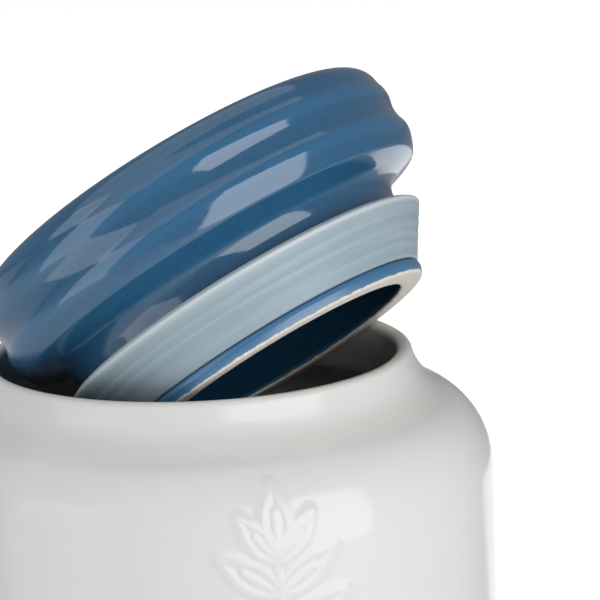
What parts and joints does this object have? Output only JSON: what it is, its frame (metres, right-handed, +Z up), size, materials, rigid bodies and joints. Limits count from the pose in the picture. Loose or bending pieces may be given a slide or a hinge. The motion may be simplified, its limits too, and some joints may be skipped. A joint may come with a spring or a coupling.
{
  "type": "ceramic storage jar with lid",
  "caption": "Round-shouldered ceramic storage jar with a rolled lip and a ribbed, hollow lid that seals with a flared soft skirt; the lid leans in the open mouth.",
  "frame": {"origin": "centre of the foot, on the surface that the jar stands on", "axes": "+Z up along the jar's axis; -Y is the side that the raised ornament faces"},
  "size_m": [0.1334, 0.1334, 0.2211],
  "materials": {
    "jar_glaze": "glossy warm white glaze",
    "lid_glaze": "glossy mottled blue glaze",
    "seal_silicone": "satin pale blue-grey silicone"
  },
  "bodies": {
    "jar": {"jar_body": "jar_glaze"},
    "lid": {"lid_shell": "lid_glaze", "lid_seal": "seal_silicone"}
  },
  "joints": [
    {"name": "lid_lift", "type": "slide", "parent": "jar", "child": "lid", "axis": [0, 0, 1], "range_m": [0, 0.12]}
  ]
}
